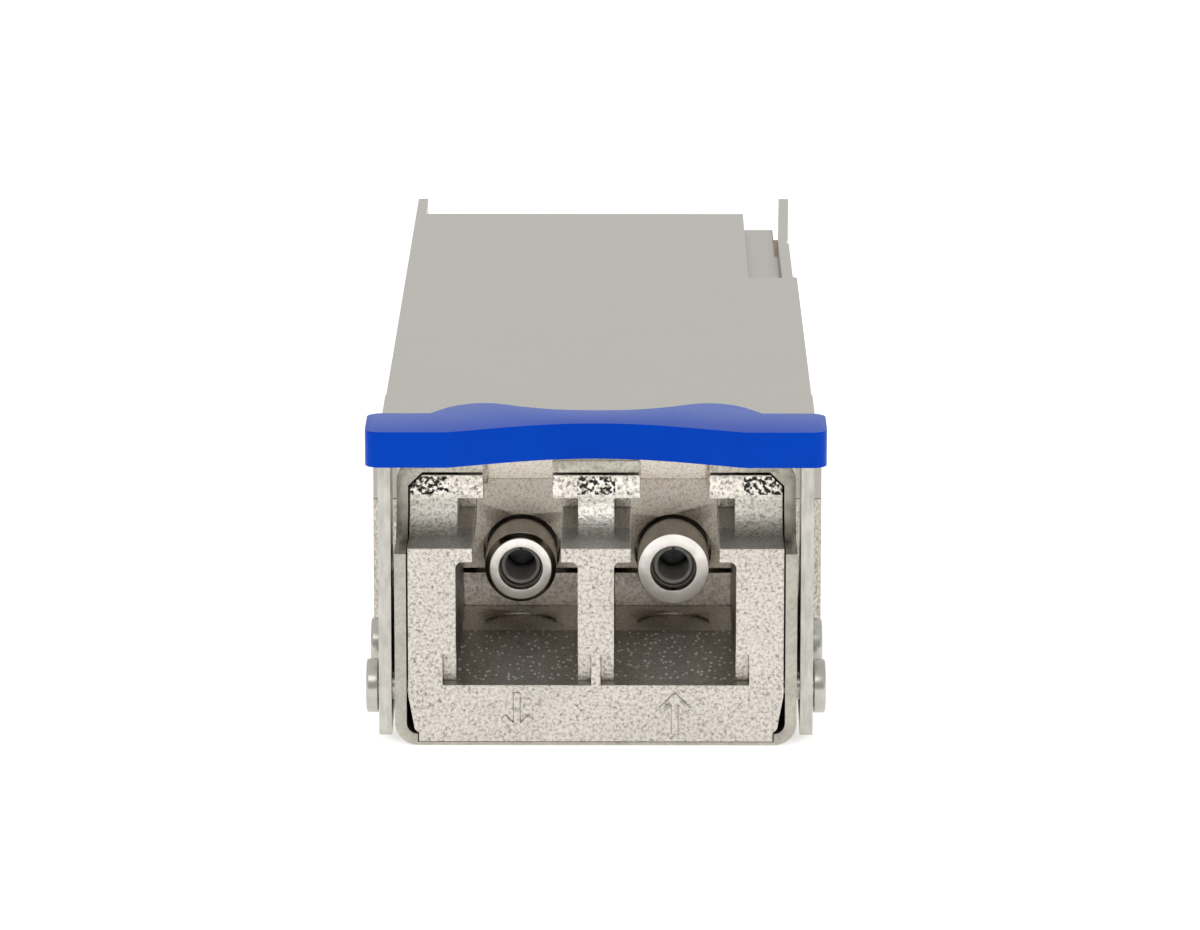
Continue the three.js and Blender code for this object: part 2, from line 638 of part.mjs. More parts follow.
function lowerHousing() {
  const { front, wide } = BODY;
  const corner = SHELF_CORNER;
  const roof = PARTING_Z - RUN;
  const shelfShape = roundedBox(-NOSE.across, NOSE.across, NOSE.bottom, roof, corner.low, corner.high);
  const shelf = alongY(shelfShape, NOSE.end + RUN, front + 1);
  let body = join(alongZ(housingPlan(), 0, PARTING_Z), shelf);
  const top = PARTING_Z + 1;
  const { rear, mid, midEnd } = CAVITY;
  body = cut(
    body,
    rearOpening(-1, top),
    block(-CAVITY.front, CAVITY.front, TONGUE.end + RUN, CAVITY.frontEnd, FLOOR_Z, top),
    block(-mid, mid, CAVITY.frontEnd - RUN, midEnd, FLOOR_Z, top),
    block(-rear, rear, midEnd - RUN, BODY.end + 1, FLOOR_Z, top),
    block(-CAVITY.front, CAVITY.front, PORT.back, TONGUE.end + 2 * RUN, TONGUE.slotFloor, top),
    block(-LABEL.across - RUN, LABEL.across + RUN, LABEL.from - RUN, LABEL.to + RUN, -1, LABEL.high + SEAM),
  );
  for (const side of Object.values(CHANNELS)) {
    const x = portX(side);
    body = cut(
      body,
      block(x - PORT.half, x + PORT.half, NOSE.end - 1, PORT.back, PORT.floor, top),
      rodZ(x, EJECTOR_MARK.depth, EJECTOR_MARK.r, PORT.floor - EJECTOR_MARK.deep, top, 16),
      rodY(x, PORT.axis, BARREL.r + BARREL_ROOM.lower, NOSE.end, TONGUE.end + 1),
    );
  }
  for (const side of Object.values(SIDES)) {
    const { low, high, inner } = CHANNEL;
    const ledge = BOARD_SHELF;
    const wayFrom = NOSE.end - 1;
    const wayTo = CHANNEL.jogTo;
    const room = SPRING_ROOM;
    body = cut(
      body,
      sideBlock(side, PLATE_WAY.inner, wide + 1, wayFrom, front, PLATE_WAY.low, high),
      sideBlock(side, PLATE_WAY.inner, PLATE.outer + 2 * RUN, wayFrom, wayTo, low, high),
      sideBlock(side, PLATE_WAY.inner, wide + 1, CHANNEL.jogFrom, wayTo, low, high),
      sideBlock(side, inner, wide + 1, wayTo - RUN, CHANNEL.end, low, high),
      sideBlock(side, inner, wide + 1, CATCH.from, CHANNEL.end, CATCH.low, CATCH.high),
      sideBlock(side, room.inner, inner + 1, room.from, room.to, LUG.low, LUG.high),
    );
    body = join(
      body,
      sideBlock(side, inner - LAP, LUG.out, LUG.from, LUG.to, LUG.low, LUG.high),
      sideBlock(side, ledge.across, mid + LAP, ledge.from, ledge.to, FLOOR_Z, BOARD.low - SEAM),
    );
  }
  for (const [x, depth] of screwPlaces()) {
    const boss = rodZ(x, depth, SCREW.bossR, FLOOR_Z - RUN, PARTING_Z);
    body = join(body, boss);
    body = cut(
      body,
      rodZ(x, depth, SCREW.headR + RUN, -1, SCREW.headHigh + SEAM),
      rodZ(x, depth, SCREW.r + RUN, 0, PARTING_Z + 1),
    );
  }
  return body;
}

/** Side view of the cut that lets each latch slot run out over the cover. */
function latchExit() {
  const { low, depth, rise } = LATCH_EXIT;
  const before = BODY.front - 1;
  return polygon([
    [before, low - RUN],
    [depth - RUN, low - RUN],
    [depth + rise, low + rise],
    [before, low + rise],
  ]);
}

function upperHousing() {
  const { front, top } = BODY;
  const low = PARTING_Z + SEAM;
  let cover = alongZ(housingPlan(), low, top);
  const { across, bottom, end } = TONGUE;
  cover = join(cover, block(-across, across, PORT.back + SEAM, end, bottom, low + LAP));
  const { rear, midEnd, roof, mid, frontEnd } = CAVITY;
  cover = cut(
    cover,
    rearOpening(0, top + 1),
    block(-CAVITY.front, CAVITY.front, TONGUE.end, frontEnd, 0, roof),
    block(-mid, mid, frontEnd - RUN, midEnd, 0, roof),
    block(-rear, COVER_POCKET.inner - COVER_POCKET.web, midEnd - RUN, BODY.end - REAR_WALL.sill, 0, roof),
    ...coverPocket(),
  );
  for (const side of Object.values(CHANNELS)) {
    const x = portX(side);
    cover = cut(
      cover,
      rodY(x, PORT.axis, BARREL.r + BARREL_ROOM.upper, PORT.back - 1, TONGUE.end + 1),
      block(x - PORT.half, x + PORT.half, front - 1, PORT.back + SEAM, 0, LATCH_EXIT.low),
      block(x - TONGUE.keyHalf, x + TONGUE.keyHalf, PORT.back - 1, TONGUE.end + 1, 0, PORT.axis),
      alongX(latchExit(), x - LATCH_WAY.slot, x + LATCH_WAY.slot),
    );
  }
  for (const pedestal of PEDESTALS) {
    const { x, depth, half } = pedestal;
    cover = join(cover, block(x - half, x + half, depth - half, depth + half, pedestal.low, roof + LAP));
  }
  for (const [x, depth] of screwPlaces()) {
    cover = join(cover, rodZ(x, depth, SCREW.bossR, low, roof + LAP));
    cover = cut(cover, rodZ(x, depth, SCREW.r + SEAM, 0, SCREW.top + RUN));
  }
  return cover;
}

function housingScrew([x, depth]) {
  const head = rodZ(x, depth, SCREW.headR, SCREW.headLow, SCREW.headHigh, 10);
  const shank = rodZ(x, depth, SCREW.r, SCREW.headHigh - RUN, SCREW.top);
  const { r, depth: deep } = SCREW_SOCKET;
  const socket = new THREE.CylinderGeometry(r, r, 2 * deep, 6);
  socket.rotateX(Math.PI / 2);
  socket.translate(x, yAt(depth), SCREW.headLow);
  return cut(join(head, shank), solid(socket));
}

// ---------------------------------------------------------------------------- optics

/** Solid of revolution about a port's axis; the profile's points are (radius, depth). */
function turned(side, profile, segments = 28) {
  const points = profile.map(([r, depth]) => new THREE.Vector2(r, yAt(depth)));
  const geometry = new THREE.LatheGeometry([...points, points[0]], segments);
  geometry.translate(portX(side), 0, PORT.axis);
  return solid(geometry);
}

/** Metal barrel that the plug's ferrule enters, with a flange held by the housing. */
function opticalBarrel(side) {
  const { r, front, flangeR, flangeFrom, end, boreR } = BARREL;
  const mouth = side < 0 ? BARREL_MOUTH.tx : BARREL_MOUTH.rx;
  const faceR = side < 0 ? BARREL_MOUTH.txFaceR : r - SEAM;
  const chamfer = side < 0 ? BARREL_MOUTH.txChamfer : SEAM;
  return turned(side, [
    [mouth, front],
    [faceR, front],
    [r, front + chamfer],
    [r, flangeFrom],
    [flangeR, flangeFrom],
    [flangeR, end],
    [boreR, end],
    [boreR, front + BARREL_MOUTH.depth],
  ]);
}

/** Split zirconia sleeve that lines up the plug's ferrule with the stub. */
function splitSleeve(side) {
  const { outer, inner, from, to, slit } = SLEEVE;
  const tube = turned(side, [[inner, from], [outer, from], [outer, to], [inner, to]]);
  const x = portX(side);
  const above = PORT.axis + outer + 1;
  return cut(tube, block(x - slit / 2, x + slit / 2, from - 1, to + 1, PORT.axis, above));
}

const fibreStub = (side) => rodY(portX(side), PORT.axis, STUB.r, STUB.from, STUB.to);

/** Sealed can with the laser or the photodiode, with a neck and a rear step. */
function opticalCan(side) {
  const { from, to, half, low, high } = CAN;
  const x = portX(side);
  const shape = roundedBox(x - half, x + half, low, high, CAN.cornerR, CAN.cornerR);
  const neck = rodY(x, PORT.axis, half - CAN_NECK.inset, from, CAN_NECK.end + RUN, 12);
  const reach = half - CAN_STEP.inset;
  const rearStep = block(x - reach, x + reach, to - CAN_STEP.long, to, high - CAN_STEP.tall, high + 1);
  return cut(join(neck, alongY(shape, CAN_NECK.end, to, 3)), rearStep);
}

function opticsClamp() {
  const { from, to, across, sheet, low, high } = CLAMP;
  return alongY(polygon([
    [-across, low],
    [sheet - across, low],
    [sheet - across, high - sheet],
    [across - sheet, high - sheet],
    [across - sheet, low],
    [across, low],
    [across, high],
    [-across, high],
  ]), from, to);
}

/** Flexible circuit from the back of a can down to the board. */
function flexCircuit(side) {
  const { half, thick, from, bend, foot, to, above } = FLEX;
  const landing = BOARD.high + SEAM;
  const start = PORT.axis + above;
  const run = [[from, start], [bend, start], [foot, landing], [to, landing]];
  const top = run.map(([depth, z]) => [depth, z + thick]).reverse();
  const x = portX(side);
  return alongX(polygon([...run, ...top]), x - half, x + half);
}

// --------------------------------------------------------------------- circuit board

const CHIPS = {
  laser_driver_chip: { x: -3.1, depth: 32.2, half: 1.6, tall: 0.85, material: PACKAGE },
  receiver_amplifier_chip: { x: 3.1, depth: 32.2, half: 1.6, tall: 0.85, material: PACKAGE },
  retimer_chip: { x: 0, depth: 40.5, half: 3.2, tall: 1.0, material: PACKAGE },
  microcontroller: { x: -3.4, depth: 53.2, half: 2.5, tall: 0.9, material: PACKAGE },
  power_inductor: { x: 3.6, depth: 51.4, half: 1.3, tall: 1.5, material: CHIP_CERAMIC },
  reference_crystal: { x: 4.4, depth: 59.4, half: 0.95, tall: 0.8, material: STEEL },
};

const CHIP_CORNER = 0.12;
const FOOT_INSET = 0.3; // of the pads and the cover's feet from a chip's edge
const PAD_THICKNESS = 0.6;
const PAD_GAP = 0.02;

/** Feet on the cover above the two hottest chips, each with a soft pad under it. */
const PEDESTALS = [CHIPS.retimer_chip, CHIPS.microcontroller].map((chip) => ({
  x: chip.x,
  depth: chip.depth,
  half: chip.half - FOOT_INSET,
  low: BOARD.high + chip.tall + PAD_THICKNESS + 3 * PAD_GAP,
}));

function chipBody({ x, depth, half, tall }) {
  const low = BOARD.high + SEAM;
  const plan = roundedBox(x - half, x + half, depth - half, depth + half, CHIP_CORNER, CHIP_CORNER);
  return alongZ(plan, low, BOARD.high + tall, 2);
}

function thermalPad({ x, depth, half }, chip) {
  const low = BOARD.high + chip.tall + PAD_GAP;
  return block(x - half, x + half, depth - half, depth + half, low, low + PAD_THICKNESS);
}

function circuitBoard() {
  const { from, to, low, high, front, rear, widenAt } = BOARD;
  const plan = [
    [front, from],
    [front, widenAt],
    [rear, widenAt + rear - front],
    [rear, to - BOARD_TIP],
    [rear - BOARD_TIP, to],
  ];
  const mirrored = plan.map(([x, depth]) => [-x, depth]).reverse();
  let board = alongZ(polygon([...plan, ...mirrored]), low, high);
  for (const [x, depth] of screwPlaces()) {
    board = cut(board, rodZ(x, depth, SCREW.bossR + 3 * RUN, low - 1, high + 1));
  }
  return board;
}

/** One row of card-edge contacts with the plating bar that ties them together. */
function edgeContacts(low, high) {
  const { count, pitch, width, from, to, bar } = CONTACT;
  const reach = ((count - 1) * pitch + width) / 2;
  let comb = block(-reach, reach, from - bar, from + RUN, low, high);
  for (let i = 0; i < count; i += 1) {
    const x = (i - (count - 1) / 2) * pitch;
    comb = join(comb, block(x - width / 2, x + width / 2, from, to, low, high));
  }
  return comb;
}

const CAPACITOR = { halfWidth: 0.4, halfLength: 0.75, tall: 0.75 };
const CAPACITORS = [[-6.0, 36.4], [6.0, 36.4], [-1.2, 47.6], [1.2, 47.6]];

function capacitor([x, depth]) {
  const { halfWidth, halfLength, tall } = CAPACITOR;
  const low = BOARD.high + SEAM;
  return block(x - halfWidth, x + halfWidth, depth - halfLength, depth + halfLength, low, low + tall);
}

// -------------------------------------------------------------------------- assembly

const module = new THREE.Group();

function add(name, shape, material) {
  const mesh = shape.getMesh();
  const geometry = new THREE.BufferGeometry();
  geometry.setAttribute('position', new THREE.BufferAttribute(mesh.vertProperties, 3));
  geometry.setIndex(new THREE.BufferAttribute(mesh.triVerts, 1));
  geometry.computeVertexNormals();
  const piece = new THREE.Mesh(geometry, material);
  piece.name = name;
  module.add(piece);
}

add('receptacle_insert', receptacleInsert(), CAST());
add('nose_shell', noseShell(), SHEET());
add('lower_housing', lowerHousing(), CAST());
add('upper_housing', upperHousing(), CAST());
add('bail_frame', bailFrame(), SHEET());
add('bail_grip', bailGrip(), BLUE());

for (const [name, side] of Object.entries(SIDES)) {
  add(`pivot_pin_${name}`, pivotPin(side), STEEL());
  add(`cam_pin_${name}`, camPin(side), STEEL());
  add(`latch_slide_${name}`, latchSlide(side), SHEET());
  add(`return_spring_${name}`, returnSpring(side), STEEL());
}

for (const [name, side] of Object.entries(CHANNELS)) {
  add(`${name}_barrel`, opticalBarrel(side), STEEL());
  add(`${name}_split_sleeve`, splitSleeve(side), CERAMIC());
  add(`${name}_fibre_stub`, fibreStub(side), GLASS());
  add(`${name}_optical_can`, opticalCan(side), GOLD());
  add(`${name}_flex_circuit`, flexCircuit(side), POLYIMIDE());
}

add('optics_clamp', opticsClamp(), SHEET());
add('circuit_board', circuitBoard(), LAMINATE());
add('edge_contacts_top', edgeContacts(BOARD.high, BOARD.high + CONTACT.thick), GOLD());
add('edge_contacts_bottom', edgeContacts(BOARD.low - CONTACT.thick, BOARD.low), GOLD());

for (const [name, chip] of Object.entries(CHIPS)) add(name, chipBody(chip), chip.material());
add('retimer_thermal_pad', thermalPad(PEDESTALS[0], CHIPS.retimer_chip), PUTTY());
add('controller_thermal_pad', thermalPad(PEDESTALS[1], CHIPS.microcontroller), PUTTY());
CAPACITORS.forEach((place, i) => add(`capacitor_${i + 1}`, capacitor(place), CHIP_CERAMIC()));
screwPlaces().forEach((place, i) => add(`housing_screw_${i + 1}`, housingScrew(place), STEEL()));

const labelSpan = [-LABEL.across, LABEL.across, LABEL.from, LABEL.to];
add('blank_label', block(...labelSpan, LABEL.low, LABEL.high), PAPER());

export default module;
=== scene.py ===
"""Looks of a pluggable optical transceiver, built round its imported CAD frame."""

import math

import bmesh
import bpy
from mathutils import Matrix, Vector


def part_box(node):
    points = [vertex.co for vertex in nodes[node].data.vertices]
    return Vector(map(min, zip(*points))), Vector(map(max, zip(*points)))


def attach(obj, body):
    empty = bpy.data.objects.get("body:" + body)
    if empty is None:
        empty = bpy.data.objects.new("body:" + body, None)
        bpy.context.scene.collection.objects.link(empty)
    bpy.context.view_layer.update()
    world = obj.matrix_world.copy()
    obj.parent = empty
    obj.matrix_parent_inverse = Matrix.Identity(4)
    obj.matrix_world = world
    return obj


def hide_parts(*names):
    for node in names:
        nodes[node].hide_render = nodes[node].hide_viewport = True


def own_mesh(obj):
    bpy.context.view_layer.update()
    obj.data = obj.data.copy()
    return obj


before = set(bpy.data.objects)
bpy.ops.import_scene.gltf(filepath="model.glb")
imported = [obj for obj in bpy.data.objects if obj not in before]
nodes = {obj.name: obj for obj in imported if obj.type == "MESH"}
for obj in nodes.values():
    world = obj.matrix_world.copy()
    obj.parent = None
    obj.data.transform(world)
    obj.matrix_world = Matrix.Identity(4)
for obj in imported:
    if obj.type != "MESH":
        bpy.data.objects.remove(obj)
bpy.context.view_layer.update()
scene = bpy.context.scene

MM = 0.001
SIDES = {"left": -1, "right": 1}

# Planes read from the frame, in metres.
FACE_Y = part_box("nose_shell")[0].y
GRIP_LOW, GRIP_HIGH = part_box("bail_grip")


# ------------------------------------------------------------------ shader helpers


class Shader:
    """A Principled material under construction, with short names for common nodes."""

    def __init__(self, name, **settings):
        self.material = bpy.data.materials.new(name)
        self.material.use_nodes = True
        self.tree = self.material.node_tree
        self.bsdf = self.tree.nodes["Principled BSDF"]
        self.place = self.tree.nodes.new("ShaderNodeTexCoord").outputs["Object"]
        for socket, value in settings.items():
            self.bsdf.inputs[socket.replace("_", " ")].default_value = value

    def link(self, output, socket):
        self.tree.links.new(output, socket)

    def stretched(self, x, y, z):
        """Object coordinates scaled along each axis, for grain that runs one way."""
        mapping = self.tree.nodes.new("ShaderNodeMapping")
        mapping.inputs["Scale"].default_value = (x, y, z)
        self.link(self.place, mapping.inputs["Vector"])
        return mapping.outputs["Vector"]

    def noise(self, per_mm, detail=2.0, rough=0.5, place=None, distortion=0.0):
        node = self.tree.nodes.new("ShaderNodeTexNoise")
        node.inputs["Scale"].default_value = per_mm / MM
        node.inputs["Detail"].default_value = detail
        node.inputs["Roughness"].default_value = rough
        node.inputs["Distortion"].default_value = distortion
        self.link(place or self.place, node.inputs["Vector"])
        return node.outputs["Fac"]

    def cells(self, per_mm, feature="F1", place=None):
        node = self.tree.nodes.new("ShaderNodeTexVoronoi")
        node.feature = feature
        node.inputs["Scale"].default_value = per_mm / MM
        self.link(place or self.place, node.inputs["Vector"])
        return node.outputs["Distance"]

    def ramp(self, value, stops):
        """Colours or greys by value: stops are (position, colour or grey)."""
        node = self.tree.nodes.new("ShaderNodeValToRGB")
        ramp = node.color_ramp
        while len(ramp.elements) < len(stops):
            ramp.elements.new(0.5)
        for element, (position, tone) in zip(ramp.elements, stops):
            element.position = position
            element.color = (*tone, 1) if isinstance(tone, tuple) else (tone, tone, tone, 1)
        self.link(value, node.inputs["Fac"])
        return node.outputs["Color"]

    def span(self, value, low, high):
        """Maps a 0 to 1 value onto a range."""
        node = self.tree.nodes.new("ShaderNodeMapRange")
        node.inputs["To Min"].default_value = low
        node.inputs["To Max"].default_value = high
        self.link(value, node.inputs["Value"])
        return node.outputs["Result"]

    def math(self, operation, a, b):
        node = self.tree.nodes.new("ShaderNodeMath")
        node.operation = operation
        for socket, value in zip(node.inputs, (a, b)):
            if isinstance(value, (int, float)):
                socket.default_value = value
            else:
                self.link(value, socket)
        return node.outputs["Value"]

    def tint(self, base, top, factor, kind="MULTIPLY"):
        node = self.tree.nodes.new("ShaderNodeMix")
        node.data_type = "RGBA"
        node.blend_type = kind
        values = {"Factor": factor, 6: base, 7: top}  # 6 and 7 are the colour sockets A and B
        for socket, value in ((node.inputs[key], value) for key, value in values.items()):
            if isinstance(value, (int, float)):
                socket.default_value = value
            elif isinstance(value, tuple):
                socket.default_value = (*value, 1)
            else:
                self.link(value, socket)
        return node.outputs[2]

    def axes(self):
        """Separate X, Y and Z outputs of the object coordinates."""
        parts = self.tree.nodes.new("ShaderNodeSeparateXYZ")
        self.link(self.place, parts.inputs["Vector"])
        return parts.outputs

    def within(self, planes):
        """1 between planes and 0 outside; planes are (axis, from, to), in mm, all of them met.

        Axis Y counts behind the nose face and axis Z above the underside."""
        axes = self.axes()
        inside = 1.0
        for axis, low, high in planes:
            start = FACE_Y if axis == "Y" else 0.0
            for edge, test in ((low, "GREATER_THAN"), (high, "LESS_THAN")):
                met = self.math(test, axes[axis], start + edge * MM)
                inside = self.math("MULTIPLY", met, inside)
        return inside

    def by_height(self, stops):
        """Tones by height above the underside; stops are (mm, colour or grey), lowest first."""
        low, high = stops[0][0], stops[-1][0]
        from_low = self.math("SUBTRACT", self.axes()["Z"], low * MM)
        share = self.math("DIVIDE", from_low, (high - low) * MM)
        return self.ramp(share, [((z - low) / (high - low), tone) for z, tone in stops])

    def rounded(self, radius_mm):
        """Normals that round the edges of a piece too finely cut for a real bevel."""
        node = self.tree.nodes.new("ShaderNodeBevel")
        node.samples = 6
        node.inputs["Radius"].default_value = radius_mm * MM
        return node.outputs["Normal"]

    def corner_shade(self, reach_mm):
        """Painted shade: dark in tight corners, and 1 elsewhere."""
        node = self.tree.nodes.new("ShaderNodeAmbientOcclusion")
        node.samples = 8
        node.inputs["Distance"].default_value = reach_mm * MM
        return self.ramp(node.outputs["AO"], [(0.45, 0.2), (0.85, 1.0)])

    def bump(self, height, depth_mm, after=None):
        node = self.tree.nodes.new("ShaderNodeBump")
        node.inputs["Distance"].default_value = depth_mm * MM
        node.inputs["Strength"].default_value = 1.0
        self.link(height, node.inputs["Height"])
        if after is not None:
            self.link(after, node.inputs["Normal"])
        return node.outputs["Normal"]

    def done(self, colour=None, rough=None, normal=None):
        for name, output in (("Base Color", colour), ("Roughness", rough), ("Normal", normal)):
            if output is not None:
                self.link(output, self.bsdf.inputs[name])
        return self.material


# ----------------------------------------------------------------------- materials


def cast_metal(name, tone, depth_mm, speck, rough, per_mm=7.5, contrast=1.0, zones=(), soft=False):
    """Nickel-plated zinc casting: crystalline grain, black pores and soft clouds.

    Each zone is (planes, kind, tint): between those planes the colour is multiplied by the tint,
    which is painted light or painted shade where it is not 1; "specks" or "grit" adds dark pores,
    "fine" a fine grain and "glints" painted white highlights. A tint can be a list of stops by
    height.
    """
    s = Shader(name, Metallic=1.0)
    grain = s.noise(per_mm, detail=2.0, rough=0.6)
    pores = s.noise(per_mm * 0.85, detail=2.0, rough=0.6, distortion=0.4)
    clouds = s.noise(0.3, detail=2.0)
    dark = tuple(c * (1 - 0.36 * contrast) for c in tone)
    light = tuple(min(c * (1 + 0.14 * contrast), 1.0) for c in tone)
    colour = s.ramp(grain, [(0.34, dark), (0.5, tone), (0.66, light)])
    colour = s.tint(colour, s.ramp(pores, [(0.33, 0.12), (0.41, 1.0)]), speck)
    colour = s.tint(colour, s.ramp(clouds, [(0.3, 1 - 0.1 * contrast), (0.7, 1.0)]), 1.0)
    overlays = {
        "specks": s.ramp(pores, [(0.36, 0.6), (0.46, 0.95), (0.6, 1.15)]),
        "grit": s.ramp(s.noise(6.5, detail=2.0), [(0.45, 0.05), (0.52, 0.85), (0.6, 1.3)]),
        "fine": s.ramp(s.noise(12.0, detail=3.0, rough=0.7), [(0.36, 0.7), (0.5, 1), (0.64, 1.2)]),
    }
    glints = s.ramp(s.cells(4.4, place=s.stretched(1.0, 0.35, 1.0)), [(0.18, 1.0), (0.33, 0.0)])
    for planes, kind, top in zones:
        inside = s.within(planes)
        colour = s.tint(colour, s.by_height(top) if isinstance(top, list) else top, inside)
        if kind in overlays:
            colour = s.tint(colour, overlays[kind], inside)
        # Painted highlights: white glints mixed into the colour.
        if kind == "glints":
            colour = s.tint(colour, (1.0, 1.0, 1.0), s.math("MULTIPLY", inside, glints), "MIX")
    # Painted shade darkens every corner of the casting.
    colour = s.tint(colour, s.corner_shade(0.1), 0.9)
    normal = s.bump(grain, depth_mm, after=s.rounded(0.07) if soft else None)
    normal = s.bump(pores, depth_mm * 0.7, after=normal)
    return s.done(colour, s.span(grain, rough[1], rough[0]), normal)


def sheet_metal(name, tone, rough_low, rough_high, run=(1.0, 1.0, 1.0), painted_light_edge=()):
    """Plated stamped sheet: drawing lines, mottled plating and fine pits; painted light, patchy
    with noise, brightens the painted_light_edge zone, which is also rougher.
    """
    s = Shader(name, Metallic=1.0)
    lines = s.noise(7.0, detail=3.0, rough=0.6, place=s.stretched(*run))
    mottle = s.noise(0.9, detail=4.0, rough=0.6)
    dark = tuple(c * 0.8 for c in tone)
    colour = s.ramp(mottle, [(0.3, dark), (0.65, tone)])
    colour = s.tint(colour, s.ramp(lines, [(0.3, 0.74), (0.6, 1.0)]), 0.8)
    rough = s.span(mottle, rough_low, rough_high)
    if painted_light_edge:
        edge_light_noise = s.noise(6.0, detail=2.0, rough=0.6)
        inside = s.within(painted_light_edge)
        # Painted light brightens the edge zone, patchy with noise.
        colour = s.tint(colour, s.ramp(edge_light_noise, [(0.38, 1.2), (0.52, 1.65)]), inside)
        rough = s.math("MAXIMUM", rough, s.math("MULTIPLY", inside, 0.6))
    normal = s.bump(lines, 0.006)
    normal = s.bump(mottle, 0.02, after=normal)
    return s.done(colour, rough, normal)


def turned_metal(name, tone, rough, lit_zone=(), painted_shine=1.0):
    """Lathe-turned steel: very fine tool rings and slight stains; painted light brightens the
    lit_zone by painted_shine.
    """
    s = Shader(name, Metallic=1.0)
    rings = s.noise(14.0, detail=1.0, place=s.stretched(0.15, 1.0, 0.15))
    stains = s.noise(1.6, detail=3.0)
    colour = s.ramp(stains, [(0.3, tuple(c * 0.85 for c in tone)), (0.7, tone)])
    if lit_zone:
        colour = s.tint(colour, painted_shine, s.within(lit_zone))
    roughness = s.span(rings, rough * 0.8, rough * 1.5)
    return s.done(colour, roughness, s.bump(rings, 0.004))


def grip_plastic():
    """Moulded blue nylon: satin skin with spark-eroded pores and a slight cloud.

    Painted reflection: in reflections on the bare metal round it, the grip is painted pale grey."""
    s = Shader("grip_plastic", Specular_IOR_Level=0.03, Sheen_Weight=0.38, Sheen_Roughness=0.35)
    s.bsdf.inputs["Sheen Tint"].default_value = (0.86, 1.0, 1.0, 1)
    clouds = s.noise(0.25, detail=3.0)
    skin = s.noise(6.0, detail=2.0, rough=0.5)
    pits = s.cells(2.2)
    colour = s.ramp(clouds, [(0.35, (0.0, 0.050, 0.46)), (0.65, (0.0, 0.058, 0.50))])
    colour = s.tint(colour, s.ramp(pits, [(0.0, 0.75), (0.09, 1.0)]), 0.7)
    rays = s.tree.nodes.new("ShaderNodeLightPath")
    # Painted reflection: glossy rays see the grip pale grey.
    colour = s.tint(colour, (0.9, 0.9, 0.9), rays.outputs["Is Glossy Ray"], "MIX")
    rough = s.span(skin, 0.3, 0.42)
    normal = s.bump(skin, 0.004)
    normal = s.bump(s.ramp(pits, [(0.0, 0.0), (0.1, 1.0)]), 0.006, after=normal)
    return s.done(colour, rough, normal)


def ceramic():
    s = Shader("zirconia", Subsurface_Weight=0.1, Specular_IOR_Level=0.6)
    fog = s.noise(1.5, detail=3.0)
    colour = s.ramp(fog, [(0.3, (0.74, 0.72, 0.66)), (0.7, (0.84, 0.82, 0.77))])
    return s.done(colour, s.span(fog, 0.15, 0.3), s.bump(fog, 0.002))


def polished_end():
    """Dark, glassy end of the fibre stub."""
    s = Shader("fibre_stub", Specular_IOR_Level=0.8, Coat_Weight=0.6, Coat_Roughness=0.05)
    haze = s.noise(3.0, detail=3.0)
    colour = s.ramp(haze, [(0.3, (0.03, 0.04, 0.05)), (0.7, (0.09, 0.11, 0.13))])
    return s.done(colour, s.span(haze, 0.08, 0.2))


def board_mask():
    """Green solder mask over traces: thin raised lines along the board and fine weave."""
    s = Shader("solder_mask", Coat_Weight=0.5, Coat_Roughness=0.2)
    traces = s.cells(1.1, feature="DISTANCE_TO_EDGE", place=s.stretched(1.0, 0.12, 0.3))
    weave = s.noise(4.0, detail=2.0)
    track = s.ramp(traces, [(0.04, 1.0), (0.07, 0.0)])
    colour = s.tint((0.008, 0.075, 0.028), (0.02, 0.15, 0.06), track, "MIX")
    colour = s.tint(colour, s.ramp(weave, [(0.3, 0.8), (0.7, 1.0)]), 0.7)
    return s.done(colour, s.span(weave, 0.3, 0.45), s.bump(track, 0.02))


def gold():
    s = Shader("gold_plate", Metallic=1.0)
    wear = s.noise(2.5, detail=4.0)
    colour = s.ramp(wear, [(0.3, (0.72, 0.48, 0.17)), (0.7, (0.95, 0.70, 0.30))])
    return s.done(colour, s.span(wear, 0.16, 0.34), s.bump(wear, 0.004))


def film():
    s = Shader("polyimide", Coat_Weight=0.4, Coat_Roughness=0.15)
    tracks = s.cells(1.6, feature="DISTANCE_TO_EDGE", place=s.stretched(1.0, 0.05, 0.05))
    lines = s.ramp(tracks, [(0.06, 1.0), (0.1, 0.0)])
    colour = s.tint((0.42, 0.17, 0.03), (0.55, 0.26, 0.06), lines, "MIX")
    return s.done(colour, s.span(lines, 0.35, 0.28), s.bump(lines, 0.01))


def package():
    """Moulded chip body: matt black epoxy with fine filler grain."""
    s = Shader("chip_package")
    filler = s.noise(8.0, detail=2.0)
    colour = s.ramp(filler, [(0.3, (0.012, 0.012, 0.013)), (0.7, (0.03, 0.03, 0.032))])
    return s.done(colour, s.span(filler, 0.45, 0.62), s.bump(filler, 0.006))


def sintered():
    s = Shader("chip_ceramic")
    grain = s.noise(6.0, detail=3.0)
    colour = s.ramp(grain, [(0.3, (0.30, 0.20, 0.12)), (0.7, (0.44, 0.32, 0.20))])
    return s.done(colour, s.span(grain, 0.4, 0.6), s.bump(grain, 0.008))


def putty():
    s = Shader("thermal_putty")
    grain = s.noise(3.0, detail=4.0)
    colour = s.ramp(grain, [(0.3, (0.22, 0.26, 0.31)), (0.7, (0.32, 0.36, 0.41))])
    return s.done(colour, s.span(grain, 0.7, 0.9), s.bump(grain, 0.03))


def label_film():
    s = Shader("label_film", Coat_Weight=0.15, Coat_Roughness=0.3)
    fibres = s.noise(5.0, detail=4.0, rough=0.7)
    colour = s.ramp(fibres, [(0.3, (0.78, 0.78, 0.76)), (0.7, (0.86, 0.86, 0.85))])
    return s.done(colour, s.span(fibres, 0.45, 0.6), s.bump(fibres, 0.004))


